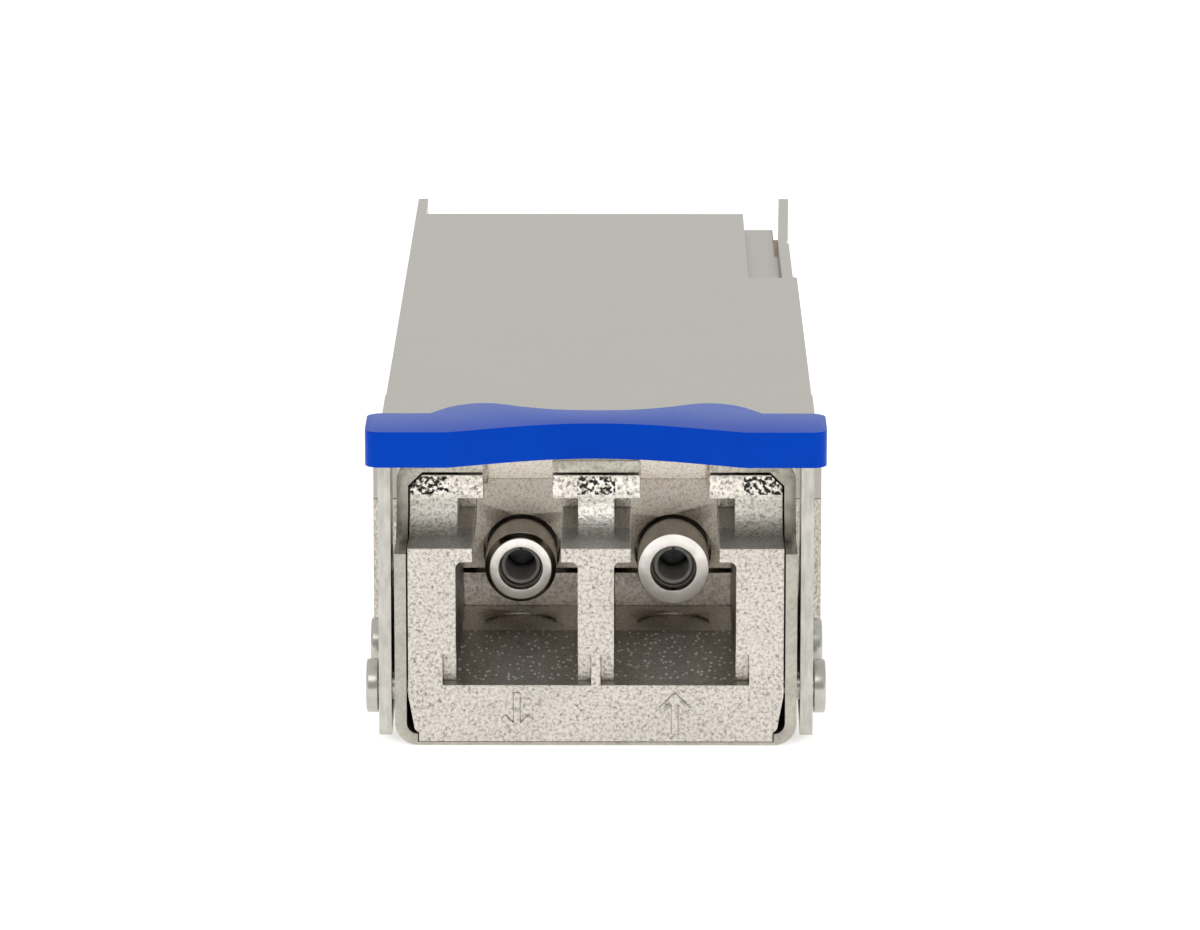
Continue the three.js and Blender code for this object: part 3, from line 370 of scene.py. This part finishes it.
# Zones of the metal pieces, in mm: see Shader.within.
PORT_INSIDE = [("Y", 0.85, 9.0), ("Z", 0.0, 7.4)]
PORT_SILL = [("Y", 0.03, 0.86), ("Z", 2.4, 2.47)]
PORT_THROAT = [("X", -5.7, 5.7), ("Y", 8.0, 12.95), ("Z", 0.0, 2.6)]
SADDLE = [("X", -5.7, 5.7), ("Y", 12.9, 13.1), ("Z", 2.4, 7.3)]
LATCH_WALL = [("X", -5.9, 5.9), ("Y", 12.0, 14.4), ("Z", 0.0, 8.55)]
SCOOP = [("Y", 0.05, 3.6), ("Z", 7.9, 10.3)]
SCOOP_TOP = [("Y", 3.0, 3.6), ("Z", 9.4, 10.15)]
PILLARS = [("X", -8.0, -5.87), ("X", -0.75, 0.76), ("X", 5.88, 8.0)]
# Painted shade and painted reflection: dim at the foot of the scoop, bright on its bend.
SCOOP_PAINTED_LIGHT = [  # by height: dim at the foot, bright on the bend
    (7.9, (0.55, 0.61, 0.68)),
    (8.25, (1.0, 1.06, 1.14)),
    (8.5, (1.4, 1.43, 1.48)),
    (8.9, (1.6, 1.6, 1.62)),
    (9.5, (1.4, 1.4, 1.4)),
    (10.3, (1.1, 1.1, 1.1)),
]
REAR_GAP = [("X", 8.3, 8.76), ("Y", 61.4, 72.5), ("Z", 6.9, 8.45)]
# Painted shade: the rear gap is darkened to brown.
GAP_BROWN_SHADE = (0.6, 0.47, 0.34)
# Painted shade for the inside of the port.
SHADED = (0.56, 0.55, 0.55)
UNTINTED = (1.0, 1.0, 1.0)
CAST_FACE = cast_metal(
    "cast_face",
    (0.68, 0.63, 0.56),
    0.026,
    0.5,
    (0.26, 0.4),
    soft=True,
    zones=[
        # Painted shade inside the port and on its sill, with painted glints on the floor.
        (PORT_INSIDE, "glints", SHADED),
        (PORT_SILL, "plain", SHADED),
        (SCOOP, "plain", SCOOP_PAINTED_LIGHT),
        (SCOOP_TOP, "specks", UNTINTED),
        *((SCOOP_TOP + [pillar], "grit", UNTINTED) for pillar in PILLARS),
    ],
)
CAST_BODY = cast_metal(
    "cast_body",
    (0.75, 0.70, 0.62),
    0.026,
    0.25,
    (0.3, 0.44),
    contrast=0.75,
    zones=[
        # Painted light: the port throat and saddle are brightened; painted brown shade in the rear
        # gap.
        (PORT_THROAT, "plain", (1.1, 1.1, 1.1)),
        (SADDLE, "plain", (1.22, 1.2, 1.22)),
        (REAR_GAP, "plain", GAP_BROWN_SHADE),
    ],
)
COVER = cast_metal(
    "cover_skin",
    (0.585, 0.565, 0.515),
    0.0004,
    0.0,
    (0.42, 0.46),
    per_mm=6.0,
    contrast=0.1,
    # Painted light: the latch-way back wall is brightened and warmed; painted brown shade in the
    # rear gap.
    zones=[(LATCH_WALL, "fine", (1.82, 1.62, 1.52)), (REAR_GAP, "plain", GAP_BROWN_SHADE)],
)
# Painted light on the shell's top front edge band.
SHELL_TOP_EDGE = [("Y", 3.2, 3.7), ("Z", 10.2, 10.8)]
SHELL = sheet_metal("shell_sheet", (0.53, 0.50, 0.43), 0.32, 0.44, (1.0, 0.2, 1.0), SHELL_TOP_EDGE)
ARM_SHEET = sheet_metal("arm_sheet", (0.64, 0.62, 0.56), 0.34, 0.46, (1.0, 1.0, 0.2))
STRIP_SHEET = sheet_metal("strip_sheet", (0.66, 0.66, 0.64), 0.25, 0.4, (1.0, 0.15, 1.0))
RIVET = turned_metal("rivet_steel", (0.53, 0.52, 0.465), 0.2)
# Painted highlight: the barrel's front ring face is brightened.
BARREL_FACE = [("Y", 9.9, 10.0), ("Z", 3.0, 6.5)]
BARREL = turned_metal("barrel_steel", (0.5, 0.45, 0.4), 0.16, BARREL_FACE, (1.8, 1.9, 2.0))
SPRING_WIRE = turned_metal("spring_wire", (0.7, 0.7, 0.68), 0.18)
BLUE = grip_plastic()

MATERIALS = {
    "receptacle_insert": CAST_FACE,
    "nose_shell": SHELL,
    "lower_housing": CAST_BODY,
    "upper_housing": COVER,
    "bail_frame": ARM_SHEET,
    "latch_slide_left": STRIP_SHEET,
    "latch_slide_right": STRIP_SHEET,
    "optics_clamp": STRIP_SHEET,
    "reference_crystal": STRIP_SHEET,
    "tx_split_sleeve": ceramic(),
    "tx_optical_can": gold(),
    "tx_flex_circuit": film(),
    "circuit_board": board_mask(),
    "retimer_chip": package(),
    "power_inductor": sintered(),
    "retimer_thermal_pad": putty(),
    "blank_label": label_film(),
}
SAME_AS = {
    "rx_split_sleeve": "tx_split_sleeve",
    "rx_optical_can": "tx_optical_can",
    "edge_contacts_top": "tx_optical_can",
    "edge_contacts_bottom": "tx_optical_can",
    "rx_flex_circuit": "tx_flex_circuit",
    "laser_driver_chip": "retimer_chip",
    "receiver_amplifier_chip": "retimer_chip",
    "microcontroller": "retimer_chip",
    "controller_thermal_pad": "retimer_thermal_pad",
    **{f"capacitor_{i}": "power_inductor" for i in range(1, 5)},
}
for node, like in SAME_AS.items():
    MATERIALS[node] = MATERIALS[like]
for i in range(1, 5):
    MATERIALS[f"housing_screw_{i}"] = RIVET


# ------------------------------------------------------------------- mesh helpers


WELD_REACH = 0.0005 * MM
EDGE_ANGLE = 28  # degrees; flatter edges are facets of one curved face
ON_AXIS = 1e-9
ROUNDED_SHARE = 0.49  # most of a side that one corner may take


def smooth_by_angle(mesh, degrees=35):
    for polygon in mesh.polygons:
        polygon.use_smooth = True
    mesh.set_sharp_from_angle(angle=math.radians(degrees))


def new_piece(name, mesh, material, body, replaced):
    piece = bpy.data.objects.new(name, mesh)
    scene.collection.objects.link(piece)
    mesh.materials.clear()
    mesh.materials.append(material)
    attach(piece, body)
    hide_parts(*replaced)
    return piece


def refine(node, width_mm):
    """Rounds a CAD node's edges: its triangles are welded together at shared points, and edges
    sharper than EDGE_ANGLE are bevelled.
    """
    obj = nodes[node]
    weld = obj.modifiers.new("weld", "WELD")
    weld.merge_threshold = WELD_REACH
    bevel = obj.modifiers.new("bevel", "BEVEL")
    bevel.width = width_mm * MM
    bevel.segments = 2
    bevel.limit_method = "ANGLE"
    bevel.angle_limit = math.radians(EDGE_ANGLE)
    bevel.miter_outer = "MITER_ARC"
    normals = obj.modifiers.new("normals", "WEIGHTED_NORMAL")
    normals.mode = "FACE_AREA"
    normals.weight = 100
    for polygon in obj.data.polygons:
        polygon.use_smooth = True


def revolved(profile, centre_x, centre_z, segments=72):
    """Mesh of revolution about a line along Y; the closed profile is (radius, y), in metres."""
    bm = bmesh.new()
    rings = []
    for radius, y in profile:
        if radius < ON_AXIS:
            rings.append([bm.verts.new((centre_x, y, centre_z))])
            continue
        ring = []
        for k in range(segments):
            a = 2 * math.pi * k / segments
            x, z = centre_x + radius * math.cos(a), centre_z + radius * math.sin(a)
            ring.append(bm.verts.new((x, y, z)))
        rings.append(ring)
    closed = len(rings[0]) > 1
    pairs = list(zip(rings, rings[1:])) + ([(rings[-1], rings[0])] if closed else [])
    for first, second in pairs:
        for k in range(segments):
            n = (k + 1) % segments
            near = first[k % len(first)], first[n % len(first)]
            far = second[n % len(second)], second[k % len(second)]
            corners = list(dict.fromkeys(near + far))
            if len(corners) > 2:
                bm.faces.new(corners)
    bmesh.ops.recalc_face_normals(bm, faces=bm.faces)
    mesh = bpy.data.meshes.new("revolved")
    bm.to_mesh(mesh)
    bm.free()
    smooth_by_angle(mesh)
    return mesh


def rounded_profile(points, steps=5):
    """Rounds a polyline's corners; each point is (r, y, corner radius)."""
    out = []
    for i, (r, y, radius) in enumerate(points):
        here = Vector((r, y))
        if radius <= 0:
            out.append((r, y))
            continue
        before = Vector(points[i - 1][:2]) - here
        after = Vector(points[(i + 1) % len(points)][:2]) - here
        cut = min(radius, before.length * ROUNDED_SHARE, after.length * ROUNDED_SHARE)
        start, end = here + before.normalized() * cut, here + after.normalized() * cut
        for k in range(steps + 1):
            t = k / steps
            out.append(tuple(start * (1 - t) ** 2 + here * 2 * t * (1 - t) + end * t * t))
    return out


# --------------------------------------------------------------------- bail grip


GRIP_ROUND = 0.3 * MM
SAME_HEIGHT = 1e-7


def build_grip():
    """Grip with its CAD outline, rounded all along its upper and lower rims."""
    node = nodes["bail_grip"]
    bm = bmesh.new()
    bm.from_mesh(node.data)
    bmesh.ops.remove_doubles(bm, verts=bm.verts, dist=0.002 * MM)
    bmesh.ops.dissolve_limit(bm, angle_limit=math.radians(0.3), verts=bm.verts, edges=bm.edges)
    rim = [
        e
        for e in bm.edges
        if len(e.link_faces) == 2
        and abs(e.verts[0].co.z - e.verts[1].co.z) < SAME_HEIGHT
        and any(abs(e.verts[0].co.z - z) < SAME_HEIGHT for z in (GRIP_LOW.z, GRIP_HIGH.z))
        and e.calc_face_angle(0) > math.radians(60)
        and max(abs(f.normal.z) for f in e.link_faces) > 0.9
    ]
    bmesh.ops.bevel(
        bm,
        geom=rim,
        offset=GRIP_ROUND,
        segments=5,
        profile=0.5,
        affect="EDGES",
        clamp_overlap=True,
    )
    mesh = bpy.data.meshes.new("bail_grip_moulded")
    bm.to_mesh(mesh)
    bm.free()
    smooth_by_angle(mesh, 40)
    new_piece("bail_grip_moulded", mesh, BLUE, "bail", ["bail_grip"])


# -------------------------------------------------------------------- rivets, pins


# Head thickness and shank radius by kind.
RIVET_HEAD = 0.49 * MM
SHANK = {"pivot_pin": 0.55 * MM, "cam_pin": 0.42 * MM}


def build_rivets():
    """Rivets with domed, chamfered heads outside each arm."""
    for kind, body in (("pivot_pin", "module"), ("cam_pin", "bail")):
        for name, side in SIDES.items():
            node = f"{kind}_{name}"
            low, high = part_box(node)
            middle = (low + high) / 2
            head_r = (high.y - low.y) / 2
            outer = high.x if side > 0 else -low.x
            inner = low.x if side > 0 else -high.x
            head_in = outer - RIVET_HEAD
            shank_r = SHANK[kind]
            profile = [
                (0, outer, 0),
                (head_r * 0.62, outer, 0.02 * MM),
                (head_r, outer - 0.02 * MM, 0.12 * MM),
                (head_r, head_in, 0.05 * MM),
                (shank_r, head_in, 0),
                (shank_r, inner, 0.06 * MM),
                (0, inner, 0),
            ]
            mesh = revolved(rounded_profile(profile), 0, 0, 48)
            turn = Matrix.Translation((0, middle.y, middle.z)) @ Matrix(
                ((0, side, 0, 0), (1, 0, 0, 0), (0, 0, 1, 0), (0, 0, 0, 1))
            )
            mesh.transform(turn)
            if turn.determinant() < 0:
                mesh.flip_normals()
            new_piece(f"{node}_turned", mesh, RIVET, body, [node])


# --------------------------------------------------------------------------- optics


# Barrel radii and depths in mm. The transmit barrel has a wide chamfer, the receive one hardly any.
BARREL_OUTER, BARREL_BORE = 1.46, 0.83
BORE_STEP, FLANGE_DEPTH = 0.45, 4.35  # behind the barrel's front
MOUTHS = {
    "tx": {"mouth": 0.875, "face": 1.275, "chamfer": 0.30},
    "rx": {"mouth": 0.92, "face": 1.445, "chamfer": 0.02},
}


def build_barrels():
    """Receptacle barrels with their mouth ring, brightened by painted light, their lead-in and
    stepped bore.
    """
    for name, ring in MOUTHS.items():
        node = f"{name}_barrel"
        low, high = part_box(node)
        mid = (low + high) / 2
        front = low.y
        outer, bore = BARREL_OUTER * MM, BARREL_BORE * MM
        mouth, face, chamfer = (ring[key] * MM for key in ("mouth", "face", "chamfer"))
        flange_r, flange_y = high.x - mid.x, front + FLANGE_DEPTH * MM
        profile = [
            (mouth, front + 0.03 * MM, 0.02 * MM),
            (mouth + 0.03 * MM, front, 0.01 * MM),
            (face, front, 0.03 * MM),
            (outer, front + chamfer, 0.03 * MM),
            (outer, flange_y, 0),
            (flange_r, flange_y, 0.05 * MM),
            (flange_r, high.y, 0.05 * MM),
            (bore, high.y, 0),
            (bore, front + BORE_STEP * MM, 0),
        ]
        mesh = revolved(rounded_profile(profile), mid.x, mid.z, 96)
        new_piece(f"{node}_turned", mesh, BARREL, "module", [node])

        stub = f"{name}_fibre_stub"
        low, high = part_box(stub)
        r = (high.x - low.x) / 2
        profile = [(0, low.y, 0), (r, low.y, 0.08 * MM), (r, high.y, 0), (0, high.y, 0)]
        mesh = revolved(rounded_profile(profile), mid.x, mid.z, 48)
        new_piece(f"{stub}_polished", mesh, polished_end(), "module", [stub])


# -------------------------------------------------------------------------- springs


WIRE = 0.1 * MM  # radius
END_PITCH = 0.35  # how much closer the end coils lie


def build_springs():
    """Return springs as smooth round-wire helices whose end coils lie closer together."""
    turns, per_turn, around = 8, 26, 8
    for name in SIDES:
        node = f"return_spring_{name}"
        low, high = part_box(node)
        mid = (low + high) / 2
        radius = (high.z - low.z) / 2 - WIRE
        bm = bmesh.new()
        rings = []
        total = turns * per_turn
        for k in range(total + 1):
            t = k / total
            ease = t - END_PITCH * math.sin(2 * math.pi * t) / (2 * math.pi)
            a = 2 * math.pi * turns * t
            y = low.y + WIRE + ease * (high.y - low.y - 2 * WIRE)
            out = Vector((math.cos(a), 0, math.sin(a)))
            middle = Vector((mid.x, y, mid.z)) + out * radius
            ring = []
            for j in range(around):
                b = 2 * math.pi * j / around
                round_wire = out * math.cos(b) + Vector((0, 1, 0)) * math.sin(b)
                ring.append(bm.verts.new(middle + round_wire * WIRE))
            rings.append(ring)
        for first, second in zip(rings, rings[1:]):
            for j in range(around):
                n = (j + 1) % around
                bm.faces.new((first[j], first[n], second[n], second[j]))
        bm.faces.new(rings[0])
        bm.faces.new(list(reversed(rings[-1])))
        bmesh.ops.recalc_face_normals(bm, faces=bm.faces)
        mesh = bpy.data.meshes.new(f"{node}_coil")
        bm.to_mesh(mesh)
        bm.free()
        smooth_by_angle(mesh, 60)
        piece = new_piece(f"{node}_coil", mesh, SPRING_WIRE, "module", [node])
        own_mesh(piece)


# ------------------------------------------------------------------------ assembly

build_grip()
build_rivets()
build_barrels()
build_springs()

# Width of each node's rounded edges, in mm.
PLAIN_EDGE = 0.04
EDGE_WIDTH = {
    "nose_shell": 0.06,
    "lower_housing": 0.1,
    "upper_housing": 0.1,
    "bail_frame": 0.08,
    "latch_slide_left": 0.06,
    "latch_slide_right": 0.06,
    "blank_label": 0.02,
}
for node, obj in nodes.items():
    if obj.hide_render:
        continue
    obj.data.materials.clear()
    obj.data.materials.append(MATERIALS[node])
    if node != "receptacle_insert":
        refine(node, EDGE_WIDTH.get(node, PLAIN_EDGE))


# ------------------------------------------------------------- floor, light, camera


FLOOR_HALF = 4.0
FLOOR_Z = -0.02 * MM  # just clear of the underside


def build_floor():
    mesh = bpy.data.meshes.new("floor")
    corners = [
        (x * FLOOR_HALF, y * FLOOR_HALF, FLOOR_Z) for x, y in ((-1, -1), (1, -1), (1, 1), (-1, 1))
    ]
    mesh.from_pydata(corners, [], [(0, 1, 2, 3)])
    floor = bpy.data.objects.new("floor", mesh)
    scene.collection.objects.link(floor)
    s = Shader("floor", Roughness=0.9, Specular_IOR_Level=0.0)
    s.bsdf.inputs["Emission Strength"].default_value = 0.55
    s.bsdf.inputs["Emission Color"].default_value = (1, 1, 1, 1)
    soft = s.noise(0.002, detail=1.0)
    mesh.materials.append(s.done(s.ramp(soft, [(0.3, 0.86), (0.7, 0.9)])))


def area_light(name, place, target, size, power):
    light = bpy.data.lights.new(name, "AREA")
    light.shape = "RECTANGLE"
    light.size, light.size_y = size
    light.energy = power
    obj = bpy.data.objects.new(name, light)
    obj.location = place
    obj.rotation_euler = (Vector(target) - Vector(place)).to_track_quat("-Z", "Y").to_euler()
    scene.collection.objects.link(obj)


def build_world():
    """Even white surroundings with one dimmer patch in front."""
    world = bpy.data.worlds.new("studio")
    scene.world = world
    world.use_nodes = True
    tree = world.node_tree
    background = tree.nodes["Background"]
    coord = tree.nodes.new("ShaderNodeTexCoord")
    dot = tree.nodes.new("ShaderNodeVectorMath")
    dot.operation = "DOT_PRODUCT"
    dot.inputs[1].default_value = Vector((0, -1, 0.2)).normalized()
    tree.links.new(coord.outputs["Generated"], dot.inputs[0])
    ramp = tree.nodes.new("ShaderNodeValToRGB")
    for element, (position, grey) in zip(ramp.color_ramp.elements, ((0.86, 1.0), (0.97, 0.62))):
        element.position = position
        element.color = (grey, grey, grey, 1)
    tree.links.new(dot.outputs["Value"], ramp.inputs["Fac"])
    rays = tree.nodes.new("ShaderNodeLightPath")
    mix = tree.nodes.new("ShaderNodeMix")
    mix.data_type = "RGBA"
    tree.links.new(rays.outputs["Is Camera Ray"], mix.inputs["Factor"])
    tree.links.new(ramp.outputs["Color"], mix.inputs[6])
    mix.inputs[7].default_value = (1.25, 1.25, 1.25, 1)
    tree.links.new(mix.outputs[2], background.inputs["Color"])
    background.inputs["Strength"].default_value = 0.82


CAMERA = {"across": 1.3, "back": 258.9, "up": 70.4, "pitch": 12.84, "yaw": 0.251, "lens": 202.9}


def build_camera():
    data = bpy.data.cameras.new("camera")
    data.lens = CAMERA["lens"]
    data.sensor_width = 36
    data.clip_start = 0.01
    data.clip_end = 20
    camera = bpy.data.objects.new("camera", data)
    camera.location = (CAMERA["across"] * MM, FACE_Y - CAMERA["back"] * MM, CAMERA["up"] * MM)
    camera.rotation_euler = (math.radians(90 - CAMERA["pitch"]), 0, math.radians(CAMERA["yaw"]))
    scene.collection.objects.link(camera)
    scene.camera = camera


build_floor()
build_world()
area_light("front_softbox", (-0.12, -0.45, 0.42), (0, 0, 0), (0.3, 0.2), 0.25)
build_camera()
scene.view_settings.view_transform = "Standard"
